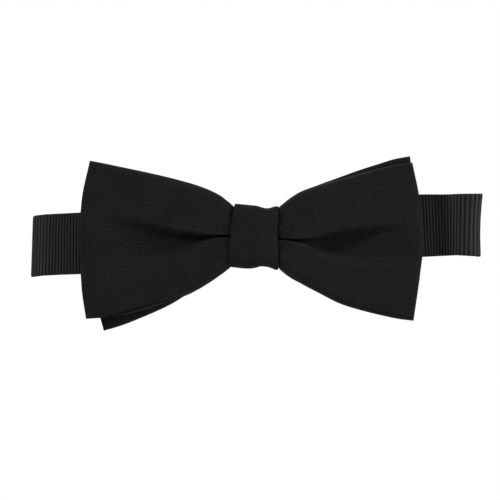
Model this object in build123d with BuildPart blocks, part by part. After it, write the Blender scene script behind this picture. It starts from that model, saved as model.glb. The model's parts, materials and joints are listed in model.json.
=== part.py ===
from build123d import *

import math
import os

# A pre-tied bow tie on an adjustable neckband, as worn: +X to the viewer's right, +Z up,
# the bow in front at -Y and the collar behind.  The origin is on the inner face of the
# band's front run, straight behind the middle of the knot, where the collar holds it.
# All sizes are millimetres.

# Neckband ribbon
RIBBON_WIDTH = 22.0
RIBBON_THICK = 0.8
BAND_HALF_SPAN = 80.8  # band centre to the outside of either end bend
BEND_RADIUS = 6.0  # of the ribbon's middle, where the band is folded back
BAND_TILT = 2.83  # degrees that the band hangs off level, right end up
BAND_LIFT = 0.6  # band centre above the bow's centre, at the knot
BODY_GAP = 0.2  # left between ribbon stretches that move apart
PLY_GAP = 0.1  # left between two layers of ribbon
TACK = 11.0  # length of ribbon folded back and sewn down
TURN_RUN = 4.0  # over which folded ribbon leaves its bar

# Gather: the band is drawn in narrower behind the knot, which hides it
GATHER_WIDTH = 18.8
GATHER_MIDDLE = -0.9  # below the ribbon's own middle
GATHER_HALF_RUN = 12.0
GATHER_EASE = 14.0  # over which it spreads to its full width again

# Metal ring, hook and slider; places are along the band from its centre
WIRE = 1.6  # diameter of the round bars
RAIL = 1.6  # width of the flat rails outside the ribbon's edges
EDGE_ROOM = 0.3  # ribbon edge to rail
WRAP_ROOM = 0.1  # ribbon to the bar that it is wrapped round
EYE_BAR_X = -24.0
EYE_REACH = 7.6  # ribbon bar to catch bar
EYE_CORNER = 1.0
HOOK_BAR_X = 18.0
HOOK_PLATE = 1.2
HOOK_SLOT = 2.8
HOOK_SHOULDER = 3.0  # plate between the slot and the tongue
HOOK_TONGUE = 8.0
HOOK_NOSE = 12.4  # ribbon bar to the centre of the nose's curl
HOOK_CURL = 1.7
HOOK_LIP = 4.6  # how far the curled end comes back
HOOK_TRAVEL = 14.0  # the slider travels twice as far
SLIDER_BAR_X = 38.0
SLIDER_HALF = 5.5
SLIDER_BAR = 1.8
SLIDER_PLATE = 1.2
SLIDER_ROOM = 0.15
SLIDER_SKIRT = 1.5  # half width of an end plate at the middle bar

# Thread
STITCH = 0.35
STITCH_RISE = 0.25
STITCH_LENGTH = 2.2
STITCH_PITCH = 3.0
TACK_SPREAD = 3.0

# Bow, seen from the front: tips and bulges of the wing ends, then points of the long edges
WAIST_HALF = 9.2  # half the width of the pinched waist
WAIST_HEIGHT = 8.7  # half its height under the knot
NECK_RUN = 0.3  # over which the bow spreads on leaving the knot
CLOTH = 0.7
POCKET_ROOM = 0.1
FRONT_LEFT_END = ((-59.5, 27.3), (-63.2, -2.5), (-61.1, -29.9))
FRONT_RIGHT_END = ((56.6, -30.5), (60.9, -5.0), (55.4, 26.4))
FRONT_EDGES = {
    "left_lower": ((-37.8, -25.0), (-19.7, -17.8), (-WAIST_HALF, -11.6)),
    "right_lower": ((WAIST_HALF, -11.6), (16.4, -17.0), (32.0, -24.6)),
    "right_upper": ((30.8, 20.8), (16.4, 15.8), (WAIST_HALF, 11.4)),
    "left_upper": ((-WAIST_HALF, 11.4), (-19.7, 17.8), (-37.8, 22.5)),
}
REAR_LEFT_END = ((-57.2, 21.6), (-59.3, -6.5), (-54.2, -34.1))
REAR_RIGHT_END = ((55.0, -24.6), (58.2, 2.0), (53.9, 28.8))
REAR_EDGES = {
    "left_lower": ((-37.8, -27.8), (-19.7, -18.4), (-WAIST_HALF, -11.2)),
    "right_lower": ((WAIST_HALF, -11.2), (16.4, -15.0), (32.0, -20.5)),
    "right_upper": ((34.4, 22.6), (18.0, 16.2), (WAIST_HALF, 11.0)),
    "left_upper": ((-WAIST_HALF, 11.0), (-19.7, 15.0), (-37.8, 18.0)),
}
# Bow, seen from above: depth of its front and back at the ends, mid-wing and the waist
WING_MIDDLE = 26.0
WING_REACH = 66.0
FRONT_BOW_DEPTHS = ((-9.4, -13.2, -11.9), (-6.4, -7.0, -7.8))
REAR_BOW_DEPTHS = ((-6.0, -6.7, -7.5), (-3.4, -3.2, -4.5))
WING_ABOVE = 40.0  # more than half the bow's height
WING_END = 50.0  # beyond this a point is on a wing's end
EDGE_SLOPE = 1.15  # how much further an edge moves straight up or down than square to itself

# Knot
KNOT_WIDTH = 17.6
KNOT_HALF_HEIGHT = 11.4
KNOT_FRONT = -15.2
KNOT_BACK = -2.2
KNOT_CLOTH = 0.8
KNOT_LINING = 0.7
FRONT_CORNER = 4.2
BACK_CORNER = 2.0
THREAD_SPACING = 4.0
THREAD = 0.35
SEAM_HEIGHT = -4.0
SEAM_STITCHES = 6

# Keeper: the flat ribbon loop behind the knot that the band runs through
KEEPER_WIDTH = 12.0
KEEPER_THICK = 0.7
KEEPER_ROOM = 0.25
KEEPER_CORNER = 0.6
TACK_RADIUS = 1.3
TACK_ROOM = 0.05
KEEPER_SEAM_STITCHES = 5

# Derived places
bend_x = BAND_HALF_SPAN - RIBBON_THICK / 2 - BEND_RADIUS
bend_y = BEND_RADIUS - RIBBON_THICK / 2
arm_inner_y = bend_y + BEND_RADIUS - RIBBON_THICK / 2
arm_outer_y = arm_inner_y + RIBBON_THICK
bar_radius = WIRE / 2
wrap_inner = bar_radius + WRAP_ROOM
wrap_middle = wrap_inner + RIBBON_THICK / 2
bar_y = arm_inner_y - wrap_inner
slider_bar_y = arm_inner_y - SLIDER_ROOM - RIBBON_THICK - wrap_inner
fold_middle_y = arm_inner_y - PLY_GAP - RIBBON_THICK / 2
return_middle_y = bar_y - wrap_middle
return_inner_y = return_middle_y - RIBBON_THICK / 2
tail_middle_y = return_middle_y + RIBBON_THICK + PLY_GAP
tail_start_x = SLIDER_BAR_X - TACK - 1
turn_end_x = HOOK_BAR_X + 3
strap_fixed_x = HOOK_BAR_X + HOOK_TRAVEL + 2.5
rail_inner = RIBBON_WIDTH / 2 + EDGE_ROOM
rail_middle = rail_inner + RAIL / 2
rail_outer = rail_inner + RAIL
keeper_front_y = -RIBBON_THICK - KEEPER_ROOM - KEEPER_THICK
keeper_back_y = KEEPER_ROOM + KEEPER_THICK

# Plan plane of the band: local x runs along it, local y is straight back
tilt = math.radians(BAND_TILT)
band_along = (math.cos(tilt), 0, math.sin(tilt))
band_up = (-math.sin(tilt), 0, math.cos(tilt))
band_centre = (0, 0, BAND_LIFT)
BAND = Plane(origin=band_centre, x_dir=band_along, z_dir=band_up)
# Cross-section plane of the band: local x is straight back, local y is up the ribbon
BAND_SECTION = Plane(origin=band_centre, x_dir=(0, 1, 0), z_dir=band_along)

os.makedirs("parts", exist_ok=True)


def band_face(y):
    """The band seen from the front at depth y: local x along it, local y up it."""
    return Plane(origin=(0, y, BAND_LIFT), x_dir=band_along, z_dir=(0, -1, 0))


def band_back(y):
    """The band seen from the collar at depth y: local x runs the other way."""
    x_dir = (-band_along[0], 0, -band_along[2])
    return Plane(origin=(0, y, BAND_LIFT), x_dir=x_dir, z_dir=(0, 1, 0))


def write(solid, name):
    """Label a finished piece and write it to a file of its own."""
    solid.label = name
    export_step(solid, f"parts/{name}.step")


# ------------------------------------------------------------ neckband


def flat_stretch(x_from, x_to, y_inner):
    """A straight stretch of ribbon; y_inner is its face nearer the bow."""
    with BuildPart() as stretch:
        with BuildSketch(BAND):
            with Locations((x_from, y_inner)):
                Rectangle(x_to - x_from, RIBBON_THICK, align=(Align.MIN, Align.MIN))
        extrude(amount=RIBBON_WIDTH / 2, both=True)
    return stretch.part


def end_bend(outward):
    """The half-round bend that folds the band back at one end; outward is -1 or 1."""
    half = Align.MAX if outward < 0 else Align.MIN
    with BuildPart() as bend:
        with BuildSketch(BAND):
            with Locations((outward * bend_x, bend_y)):
                Circle(BEND_RADIUS + RIBBON_THICK / 2)
                Circle(BEND_RADIUS - RIBBON_THICK / 2, mode=Mode.SUBTRACT)
                Rectangle(
                    2 * BEND_RADIUS,
                    4 * BEND_RADIUS,
                    align=(half, Align.CENTER),
                    mode=Mode.INTERSECT,
                )
        extrude(amount=RIBBON_WIDTH / 2, both=True)
    return bend.part


def strip_along(path, width, thick):
    """A strip whose middle follows a flat path in the band's plan plane."""
    with BuildPart() as strip:
        with BuildSketch(Plane(origin=path @ 0, x_dir=band_up, z_dir=path % 0)):
            Rectangle(width, thick)
        sweep(path=path)
    return strip.part


def s_bend(start, end):
    """A soft double curve from start to end, running along the band at both."""
    half_way = (start[0] + end[0]) / 2
    return Bezier(start, (half_way, start[1]), (half_way, end[1]), end)


# The eye end goes round the ring's bar and is sewn down inside the arm.
with BuildLine(BAND) as eye_fold_path:
    ThreePointArc(
        (EYE_BAR_X, bar_y + wrap_middle),
        (EYE_BAR_X + wrap_middle, bar_y),
        (EYE_BAR_X, bar_y - wrap_middle),
    )
    s_bend((EYE_BAR_X, bar_y - wrap_middle), (EYE_BAR_X - TURN_RUN, fold_middle_y))
    Line((EYE_BAR_X - TURN_RUN, fold_middle_y), (EYE_BAR_X - TACK, fold_middle_y))

# The strap turns round the hook's bar and comes back inside itself.
with BuildLine(BAND) as hook_turn_path:
    ThreePointArc(
        (HOOK_BAR_X, bar_y + wrap_middle),
        (HOOK_BAR_X - wrap_middle, bar_y),
        (HOOK_BAR_X, bar_y - wrap_middle),
    )
    Line((HOOK_BAR_X, bar_y - wrap_middle), (turn_end_x, return_middle_y))

# The strap's end goes round the slider's middle bar and is sewn to itself.
with BuildLine(BAND) as slider_fold_path:
    Line((tail_start_x, return_middle_y), (SLIDER_BAR_X - TURN_RUN, return_middle_y))
    s_bend((SLIDER_BAR_X - TURN_RUN, return_middle_y), (SLIDER_BAR_X, slider_bar_y - wrap_middle))
    ThreePointArc(
        (SLIDER_BAR_X, slider_bar_y - wrap_middle),
        (SLIDER_BAR_X + wrap_middle, slider_bar_y),
        (SLIDER_BAR_X, slider_bar_y + wrap_middle),
    )
    s_bend((SLIDER_BAR_X, slider_bar_y + wrap_middle), (SLIDER_BAR_X - TURN_RUN, tail_middle_y))
    Line((SLIDER_BAR_X - TURN_RUN, tail_middle_y), (SLIDER_BAR_X - TACK, tail_middle_y))

# The front run, which narrows to the gather behind the knot
gather_top = GATHER_MIDDLE + GATHER_WIDTH / 2
gather_foot = GATHER_MIDDLE - GATHER_WIDTH / 2
gather_end = GATHER_HALF_RUN + GATHER_EASE
edge = RIBBON_WIDTH / 2
with BuildPart() as front_run:
    with BuildSketch(band_face(0)):
        with BuildLine():
            Line((bend_x, edge), (gather_end, edge))
            s_bend((gather_end, edge), (GATHER_HALF_RUN, gather_top))
            Line((GATHER_HALF_RUN, gather_top), (-GATHER_HALF_RUN, gather_top))
            s_bend((-GATHER_HALF_RUN, gather_top), (-gather_end, edge))
            Polyline((-gather_end, edge), (-bend_x, edge), (-bend_x, -edge), (-gather_end, -edge))
            s_bend((-gather_end, -edge), (-GATHER_HALF_RUN, gather_foot))
            Line((-GATHER_HALF_RUN, gather_foot), (GATHER_HALF_RUN, gather_foot))
            s_bend((GATHER_HALF_RUN, gather_foot), (gather_end, -edge))
            Polyline((gather_end, -edge), (bend_x, -edge), (bend_x, edge))
        make_face()
    extrude(amount=RIBBON_THICK)
write(front_run.part, "neckband_front")

stretches = {
    "neckband_eye_arm": (-bend_x + BODY_GAP, EYE_BAR_X, arm_inner_y),
    "neckband_hook_arm": (strap_fixed_x, bend_x - BODY_GAP, arm_inner_y),
    "strap_outer_layer": (HOOK_BAR_X + BODY_GAP, strap_fixed_x - BODY_GAP, arm_inner_y),
    "strap_return_layer": (turn_end_x + BODY_GAP, tail_start_x - BODY_GAP, return_inner_y),
}
for name, (x_from, x_to, y_inner) in stretches.items():
    write(flat_stretch(x_from, x_to, y_inner), name)

write(end_bend(-1), "neckband_left_bend")
write(end_bend(1), "neckband_right_bend")

folds = {
    "eye_ribbon_fold": eye_fold_path,
    "hook_ribbon_turn": hook_turn_path,
    "slider_ribbon_fold": slider_fold_path,
}
for name, fold_path in folds.items():
    write(strip_along(fold_path.wire(), RIBBON_WIDTH, RIBBON_THICK), name)

# ------------------------------------------------------------ stitches


def stitches(plane, places, rotation=0):
    """Short stitches standing on a face, at places in its plane."""
    with BuildPart() as row:
        with BuildSketch(plane):
            with Locations(*places):
                SlotOverall(STITCH_LENGTH, STITCH, rotation=rotation)
        extrude(amount=STITCH_RISE)
    return row.part


def tack_places(middle_x, count=7):
    """Two rows across the ribbon, over both ends of a sewn-down fold."""
    return [
        (middle_x + side * TACK_SPREAD, (n - (count - 1) / 2) * STITCH_PITCH)
        for side in (-1, 1)
        for n in range(count)
    ]


def seam_places(count, spacing, height):
    """One row along a seam."""
    return [((n - (count - 1) / 2) * spacing, height) for n in range(count)]


eye_tack_x = EYE_BAR_X - TURN_RUN - TACK_SPREAD - STITCH
slider_tack_x = SLIDER_BAR_X - TURN_RUN - TACK_SPREAD - STITCH
write(
    stitches(band_back(arm_outer_y), tack_places(-eye_tack_x), rotation=90),
    "eye_tack_stitches",
)
write(
    stitches(band_face(return_inner_y), tack_places(slider_tack_x), rotation=90),
    "slider_tack_stitches",
)

# ------------------------------------------------------------ metal ring, hook and slider

# A rectangular ring of round wire: one long side is in the ribbon, the other takes the hook.
with BuildPart() as eye_ring:
    with BuildLine(band_face(bar_y)) as eye_path:
        FilletPolyline(
            (EYE_BAR_X, -rail_middle),
            (EYE_BAR_X + EYE_REACH, -rail_middle),
            (EYE_BAR_X + EYE_REACH, rail_middle),
            (EYE_BAR_X, rail_middle),
            radius=EYE_CORNER,
            close=True,
        )
    with BuildSketch(Plane(origin=eye_path.wire() @ 0, z_dir=eye_path.wire() % 0)):
        Circle(bar_radius)
    sweep()
write(eye_ring.part, "eye_ring")

# A flat plate: the strap goes round its bar, and its tongue is curled back into a hook.
shoulder_x = HOOK_BAR_X - bar_radius - HOOK_SLOT
plate_end_x = shoulder_x - HOOK_SHOULDER
nose_x = HOOK_BAR_X - HOOK_NOSE
with BuildLine(BAND) as tongue_path:
    Line((plate_end_x + HOOK_PLATE, bar_y), (nose_x, bar_y))
    ThreePointArc(
        (nose_x, bar_y),
        (nose_x - HOOK_CURL, bar_y + HOOK_CURL),
        (nose_x, bar_y + 2 * HOOK_CURL),
    )
    Line((nose_x, bar_y + 2 * HOOK_CURL), (nose_x + HOOK_LIP, bar_y + 2 * HOOK_CURL))

with BuildPart() as hook:
    with BuildSketch(band_face(bar_y)):
        with BuildLine():
            Polyline(
                (HOOK_BAR_X, rail_outer),
                (shoulder_x, rail_outer),
                (plate_end_x, HOOK_TONGUE / 2),
                (plate_end_x, -HOOK_TONGUE / 2),
                (shoulder_x, -rail_outer),
                (HOOK_BAR_X, -rail_outer),
                close=True,
            )
        make_face()
        with Locations((HOOK_BAR_X, 0)):
            Rectangle(
                HOOK_BAR_X - shoulder_x,
                2 * rail_inner,
                align=(Align.MAX, Align.CENTER),
                mode=Mode.SUBTRACT,
            )
    extrude(amount=HOOK_PLATE / 2, both=True)
    with BuildSketch(BAND):
        with Locations((HOOK_BAR_X, bar_y)):
            Circle(bar_radius)
    extrude(amount=rail_outer, both=True)
    add(strip_along(tongue_path.wire(), HOOK_TONGUE, HOOK_PLATE))
write(hook.part, "hook")

# The slider's side bars lie outside the strap and its middle bar inside, so the strap runs
# straight through between them; two end plates hold the three bars.
slider_top = arm_outer_y + SLIDER_ROOM
with BuildPart() as slider:
    with BuildSketch(BAND.offset(rail_inner), BAND.offset(-rail_outer)):
        with BuildLine():
            Polyline(
                (SLIDER_BAR_X - SLIDER_HALF, slider_top),
                (SLIDER_BAR_X - SLIDER_HALF, slider_top + SLIDER_PLATE),
                (SLIDER_BAR_X + SLIDER_HALF, slider_top + SLIDER_PLATE),
                (SLIDER_BAR_X + SLIDER_HALF, slider_top),
                (SLIDER_BAR_X + SLIDER_SKIRT, slider_bar_y - bar_radius),
                (SLIDER_BAR_X - SLIDER_SKIRT, slider_bar_y - bar_radius),
                close=True,
            )
        make_face()
    extrude(amount=RAIL)
    with BuildSketch(band_back(slider_top)):
        with Locations((-SLIDER_BAR_X, 0)):
            Rectangle(2 * SLIDER_HALF, 2 * rail_outer)
            Rectangle(2 * (SLIDER_HALF - SLIDER_BAR), 2 * rail_inner, mode=Mode.SUBTRACT)
    extrude(amount=SLIDER_PLATE)
    with BuildSketch(BAND):
        with Locations((SLIDER_BAR_X, slider_bar_y)):
            Circle(bar_radius)
    extrude(amount=rail_outer, both=True)
write(slider.part, "slider")

# ------------------------------------------------------------ keeper behind the knot

with BuildPart() as keeper:
    with BuildSketch(BAND_SECTION):
        with Locations(((keeper_front_y + keeper_back_y) / 2, GATHER_MIDDLE)):
            depth = keeper_back_y - keeper_front_y
            height = GATHER_WIDTH + 2 * (KEEPER_ROOM + KEEPER_THICK)
            RectangleRounded(depth, height, KEEPER_CORNER)
            Rectangle(depth - 2 * KEEPER_THICK, height - 2 * KEEPER_THICK, mode=Mode.SUBTRACT)
    extrude(amount=KEEPER_WIDTH / 2, both=True)
write(keeper.part, "keeper")

# The one thread shank that holds the keeper to the knot, on which the bow can tilt
with BuildPart() as keeper_tack:
    with BuildSketch(band_face(keeper_front_y)):
        Circle(TACK_RADIUS)
    extrude(amount=keeper_front_y - KNOT_BACK - TACK_ROOM)
write(keeper_tack.part, "keeper_tack")

keeper_seam = seam_places(KEEPER_SEAM_STITCHES, STITCH_PITCH * 0.75, STITCH_PITCH)
write(stitches(band_back(keeper_back_y), keeper_seam, rotation=90), "keeper_seam_stitches")

# ------------------------------------------------------------ knot


def sleeve_section(front, back, half, corners, inset):
    """A rectangle seen along the band, with large corners in front and small ones behind."""
    with BuildSketch() as section:
        with Locations(((front + back) / 2, 0)):
            Rectangle(back - front, 2 * half)
        fillet(section.vertices().group_by(Axis.X)[0], corners[0] - inset)
        fillet(section.vertices().group_by(Axis.X)[-1], corners[1] - inset)
    return section.sketch


def sleeve(front, back, half, corners, thick, planes, width):
    """Flat-sided rings round the bow's waist, the outside of their section given."""
    with BuildPart() as rings:
        with BuildSketch(*planes):
            for inset, mode in ((0, Mode.ADD), (thick, Mode.SUBTRACT)):
                add(sleeve_section(front + inset, back - inset, half - inset, corners, inset), mode=mode)
        extrude(amount=width / 2, both=True)
    return rings.part


def knot_sleeve(inset, thick):
    """A layer of the knot, its outside inset from the knot's."""
    corners = (FRONT_CORNER - inset, BACK_CORNER - inset)
    front = KNOT_FRONT + inset
    half = KNOT_HALF_HEIGHT - inset
    return sleeve(front, KNOT_BACK - inset, half, corners, thick, [Plane.YZ], KNOT_WIDTH)


write(knot_sleeve(0, KNOT_CLOTH), "knot_wrap")
write(knot_sleeve(KNOT_CLOTH, KNOT_LINING), "knot_interlining")

# Thread wound round both waists to gather them, in separate turns
knot_layers = KNOT_CLOTH + KNOT_LINING
thread_planes = [Plane.YZ.offset(turn * THREAD_SPACING) for turn in (-1, 0, 1)]
thread_rings = sleeve(
    KNOT_FRONT + knot_layers + THREAD,
    KNOT_BACK - knot_layers - THREAD / 2,
    WAIST_HEIGHT + 2 * THREAD,
    (FRONT_CORNER - knot_layers - THREAD, BACK_CORNER / 2),
    THREAD,
    thread_planes,
    THREAD,
)
write(thread_rings, "gathering_thread")

seam_plane = Plane(origin=(0, KNOT_BACK, 0), x_dir=(-1, 0, 0), z_dir=(0, 1, 0))
knot_seam = seam_places(SEAM_STITCHES, STITCH_PITCH * 0.9, SEAM_HEIGHT)
write(stitches(seam_plane, knot_seam, rotation=90), "knot_seam_stitches")

# ------------------------------------------------------------ front and rear bow


def drawn_in(points, inset):
    """Outline points moved into the bow: sideways at the wing ends, up or down on the edges."""
    return [
        (
            x - math.copysign(inset, x) if abs(x) > WING_END else x,
            z - math.copysign(inset, z) * EDGE_SLOPE,
        )
        for x, z in points
    ]


def bow_blank(left_end, right_end, edges, depths, inset):
    """One bow, both wings and the waist between, drawn in by inset all round."""
    end_front, middle_front, waist_front = (y + inset for y in depths[0])
    end_back, middle_back, waist_back = (y - inset for y in depths[1])
    left = drawn_in(left_end, inset)
    right = drawn_in(right_end, inset)
    left_lower = drawn_in(edges["left_lower"], inset)
    right_lower = drawn_in(edges["right_lower"], inset)
    right_upper = drawn_in(edges["right_upper"], inset)
    left_upper = drawn_in(edges["left_upper"], inset)
    waist = WAIST_HEIGHT - inset
    neck = WAIST_HALF - NECK_RUN
    with BuildPart() as blank:
        with BuildSketch(Plane.XZ):
            with BuildLine():
                ThreePointArc(*left)
                Spline(left[-1], *left_lower)
                Polyline(left_lower[-1], (-neck, -waist), (neck, -waist), right_lower[0])
                Spline(*right_lower, right[0])
                ThreePointArc(*right)
                Spline(right[-1], *right_upper)
                Polyline(right_upper[-1], (neck, waist), (-neck, waist), left_upper[0])
                Spline(*left_upper, left[0])
            make_face()
        extrude(amount=-2 * KNOT_FRONT, both=True)
        with BuildSketch(Plane.XY):
            with BuildLine():
                front_line = Spline(
                    (-WING_REACH, end_front),
                    (-WING_MIDDLE, middle_front),
                    (0, waist_front),
                    (WING_MIDDLE, middle_front),
                    (WING_REACH, end_front),
                )
                back_line = Spline(
                    (WING_REACH, end_back),
                    (WING_MIDDLE, middle_back),
                    (0, waist_back),
                    (-WING_MIDDLE, middle_back),
                    (-WING_REACH, end_back),
                )
                Line(front_line @ 1, back_line @ 0)
                Line(back_line @ 1, front_line @ 0)
            make_face()
        extrude(amount=WING_ABOVE, both=True, mode=Mode.INTERSECT)
    return blank.part


bows = {
    "front_bow": (FRONT_LEFT_END, FRONT_RIGHT_END, FRONT_EDGES, FRONT_BOW_DEPTHS),
    "rear_bow": (REAR_LEFT_END, REAR_RIGHT_END, REAR_EDGES, REAR_BOW_DEPTHS),
}
for name, shape in bows.items():
    # Cloth turned inside out round its interlining: a closed envelope with the stiffener in it
    with BuildPart() as shell:
        add(bow_blank(*shape, 0))
        add(bow_blank(*shape, CLOTH), mode=Mode.SUBTRACT)
    write(shell.part, f"{name}_shell")
    write(bow_blank(*shape, CLOTH + POCKET_ROOM), f"{name}_interlining")
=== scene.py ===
import json
import math

import bmesh
import bpy
import numpy as np
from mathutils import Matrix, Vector


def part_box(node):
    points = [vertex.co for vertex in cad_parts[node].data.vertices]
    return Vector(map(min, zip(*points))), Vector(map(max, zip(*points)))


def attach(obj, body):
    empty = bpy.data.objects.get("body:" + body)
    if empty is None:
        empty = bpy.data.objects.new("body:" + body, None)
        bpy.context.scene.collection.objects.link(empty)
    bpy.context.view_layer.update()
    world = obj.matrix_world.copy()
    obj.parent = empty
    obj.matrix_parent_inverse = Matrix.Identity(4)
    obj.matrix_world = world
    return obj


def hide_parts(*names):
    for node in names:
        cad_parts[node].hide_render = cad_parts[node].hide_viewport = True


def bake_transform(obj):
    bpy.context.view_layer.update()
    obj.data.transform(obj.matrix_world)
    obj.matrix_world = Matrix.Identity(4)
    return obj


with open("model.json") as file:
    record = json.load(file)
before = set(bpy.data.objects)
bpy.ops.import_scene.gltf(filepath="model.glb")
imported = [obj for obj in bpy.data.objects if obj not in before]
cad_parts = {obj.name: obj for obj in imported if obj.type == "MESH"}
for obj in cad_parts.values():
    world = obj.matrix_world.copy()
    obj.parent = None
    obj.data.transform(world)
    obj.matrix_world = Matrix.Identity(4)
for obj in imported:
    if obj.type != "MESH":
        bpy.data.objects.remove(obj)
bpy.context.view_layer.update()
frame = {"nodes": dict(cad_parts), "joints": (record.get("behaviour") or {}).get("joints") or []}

# Everything below is in the row frame: +X to the viewer's right, +Z up, the bow in front at -Y.
# Shapes are in millimetres until a mesh is made, and a cloth's own map is in centimetres.
MM = 0.001
WELD_DISTANCE = 2e-7
SHORTEST_EDGE = 1e-8

JOINTS = {joint["name"]: joint for joint in frame["joints"]}


def pivot(joint):
    """Where a hinge turns, in millimetres."""
    return np.array(JOINTS[joint]["pos_m"]) / MM


def node_middle(node):
    """The middle of a CAD node's box, in millimetres."""
    low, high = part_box(node)
    return (np.array(low) + np.array(high)) / 2 / MM


# The band hangs a little off level. Its own directions: along it, straight back, up the ribbon.
slide_axis = JOINTS["bow_slide"]["axis"]
TILT = math.atan2(slide_axis[2], slide_axis[0])
ALONG = np.array([math.cos(TILT), 0, math.sin(TILT)])
BACK = np.array([0, 1, 0])
UP = np.array([-math.sin(TILT), 0, math.cos(TILT)])
BAND_CENTRE = pivot("bow_tilt") * np.array([1, 0, 1])


def band_place(place):
    """A place in the row frame as its distances along the band, back from it and up it."""
    gap = place - BAND_CENTRE
    return gap @ ALONG, gap @ BACK, gap @ UP


# ---------------------------------------------------------------- curves and grids


def flow(x, table):
    """A smooth curve through the table's (place, value) pairs that never overshoots them."""
    places, values = np.array(table, float).T
    gap = np.diff(places)
    slope = np.diff(values) / gap
    product = slope[:-1] * slope[1:]
    weight_a = 2 * gap[1:] + gap[:-1]
    weight_b = gap[1:] + 2 * gap[:-1]
    with np.errstate(divide="ignore", invalid="ignore"):
        middle = (weight_a + weight_b) / (weight_a / slope[:-1] + weight_b / slope[1:])
    middle = np.where(product > 0, middle, 0)
    tangent = np.concatenate([[slope[0]], middle, [slope[-1]]])
    x = np.clip(np.asarray(x, float), places[0], places[-1])
    i = np.clip(np.searchsorted(places, x, side="right") - 1, 0, len(places) - 2)
    t = (x - places[i]) / gap[i]
    rise = t * t * (3 - 2 * t)
    lead = t * (1 - t) ** 2 * gap[i] * tangent[i]
    trail = t * t * (t - 1) * gap[i] * tangent[i + 1]
    return values[i] + (values[i + 1] - values[i]) * rise + lead + trail


def ease(x, start, end):
    """0 before start, 1 after end, smooth between."""
    t = np.clip((x - start) / (end - start), 0, 1)
    return t * t * (3 - 2 * t)


def rolled(distance, radius):
    """How far a rounded edge has risen at a distance in from it, as a share of its height."""
    t = 1 - np.clip(distance / radius, 0, 1)
    return np.sqrt(np.maximum(1 - t * t, 0))


def unevenness(x, z, phase):
    """Slow, soft unevenness of hand-finished cloth, about -1 to 1."""
    a = np.sin(0.31 * x + 0.17 * z + phase)
    b = np.sin(0.13 * x - 0.41 * z + 2.3 * phase)
    c = np.sin(0.62 * x + 0.29 * z + 1.1 + 0.7 * phase)
    d = np.sin(-0.23 * x + 0.77 * z + 3.1 * phase)
    return 0.35 * a + 0.3 * b + 0.2 * c + 0.15 * d


def grid(points, uv, around_i=False, around_j=False):
    """Quads over a grid of points, with each corner's place on the flat cloth."""
    m, n = points.shape[:2]
    i = np.arange(m if around_i else m - 1)[:, None]
    j = np.arange(n if around_j else n - 1)[None, :]
    corners = [(i, j), (i + 1, j), (i + 1, j + 1), (i, j + 1)]
    quads = [((ci % m) * n + cj % n) + 0 * (i + j) for ci, cj in corners]
    flat = [uv[ci + 0 * cj, cj + 0 * ci] for ci, cj in corners]
    return points.reshape(-1, 3), np.stack(quads, -1).reshape(-1, 4), np.stack(flat, -2).reshape(-1, 4, 2)


def flipped(part):
    """The same grid facing the other way."""
    points, quads, flat = part
    return points, quads[:, ::-1], flat[:, ::-1]


def piece(name, parts, material, weld=True):
    """One object from several grids, in millimetres, welded where they meet."""
    points, faces, flat, offset = [], [], [], 0
    for part_points, part_faces, part_flat in parts:
        points.append(part_points)
        faces.append(part_faces + offset)
        flat.append(part_flat)
        offset += len(part_points)
    mesh = bpy.data.meshes.new(name)
    mesh.from_pydata(np.concatenate(points) * MM, [], np.concatenate(faces).tolist())
    layer = mesh.uv_layers.new(name="cloth")
    layer.data.foreach_set("uv", (np.concatenate(flat).reshape(-1, 2) / 10).ravel())
    if weld:
        work = bmesh.new()
        work.from_mesh(mesh)
        bmesh.ops.remove_doubles(work, verts=work.verts, dist=WELD_DISTANCE)
        bmesh.ops.dissolve_degenerate(work, edges=work.edges, dist=SHORTEST_EDGE)
        work.to_mesh(mesh)
        work.free()
    mesh.polygons.foreach_set("use_smooth", [True] * len(mesh.polygons))
    mesh.materials.append(material)
    made = bpy.data.objects.new(name, mesh)
    bpy.context.scene.collection.objects.link(made)
    return made


# ---------------------------------------------------------------- materials


class Nodes:
    """A material's node tree, with short calls to add to it."""

    def __init__(self, name):
        self.material = bpy.data.materials.new(name)
        self.material.use_nodes = True
        self.tree = self.material.node_tree
        self.shader = self.tree.nodes["Principled BSDF"]

    def add(self, kind, inputs=None, **settings):
        """A new node, with its settings made and its inputs set or linked."""
        node = self.tree.nodes.new(kind)
        for key, value in settings.items():
            setattr(node, key, value)
        for key, value in (inputs or {}).items():
            if isinstance(value, bpy.types.NodeSocket):
                self.tree.links.new(value, node.inputs[key])
            else:
                node.inputs[key].default_value = value
        return node

    def math(self, operation, a, b=0.0):
        """One step of arithmetic; an operation of one value takes no notice of b."""
        return self.add("ShaderNodeMath", {0: a, 1: b}, operation=operation).outputs[0]

    def noise(self, vector, scale, detail=2.0, roughness=0.5):
        """Smooth noise, about 0.3 to 0.7 for most of its area."""
        inputs = {"Vector": vector, "Scale": scale, "Detail": detail, "Roughness": roughness}
        return self.add("ShaderNodeTexNoise", inputs).outputs["Fac"]

    def ramp(self, factor, low, high, dark, light):
        """A colour from dark, at low, to light, at high."""
        node = self.add("ShaderNodeValToRGB", {"Fac": factor})
        for element, place, colour in zip(node.color_ramp.elements, (low, high), (dark, light)):
            element.position = place
            element.color = (*colour, 1)
        return node.outputs["Color"]

    def spread(self, factor, low, high, out_low, out_high):
        """A value moved from one range to another and held inside it."""
        inputs = {"Value": factor, 1: low, 2: high, 3: out_low, 4: out_high}
        return self.add("ShaderNodeMapRange", inputs).outputs[0]

    def bump(self, height, distance):
        """Small relief in the shading; the visible shapes are in the meshes."""
        inputs = {"Height": height, "Distance": distance, "Strength": 1.0}
        return self.add("ShaderNodeBump", inputs).outputs["Normal"]

    def shade(self, **inputs):
        """Set or link the shader's own sockets; underscores stand for spaces."""
        for key, value in inputs.items():
            socket = self.shader.inputs[key.replace("_", " ")]
            if isinstance(value, bpy.types.NodeSocket):
                self.tree.links.new(value, socket)
            else:
                socket.default_value = value
        return self.material


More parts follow.
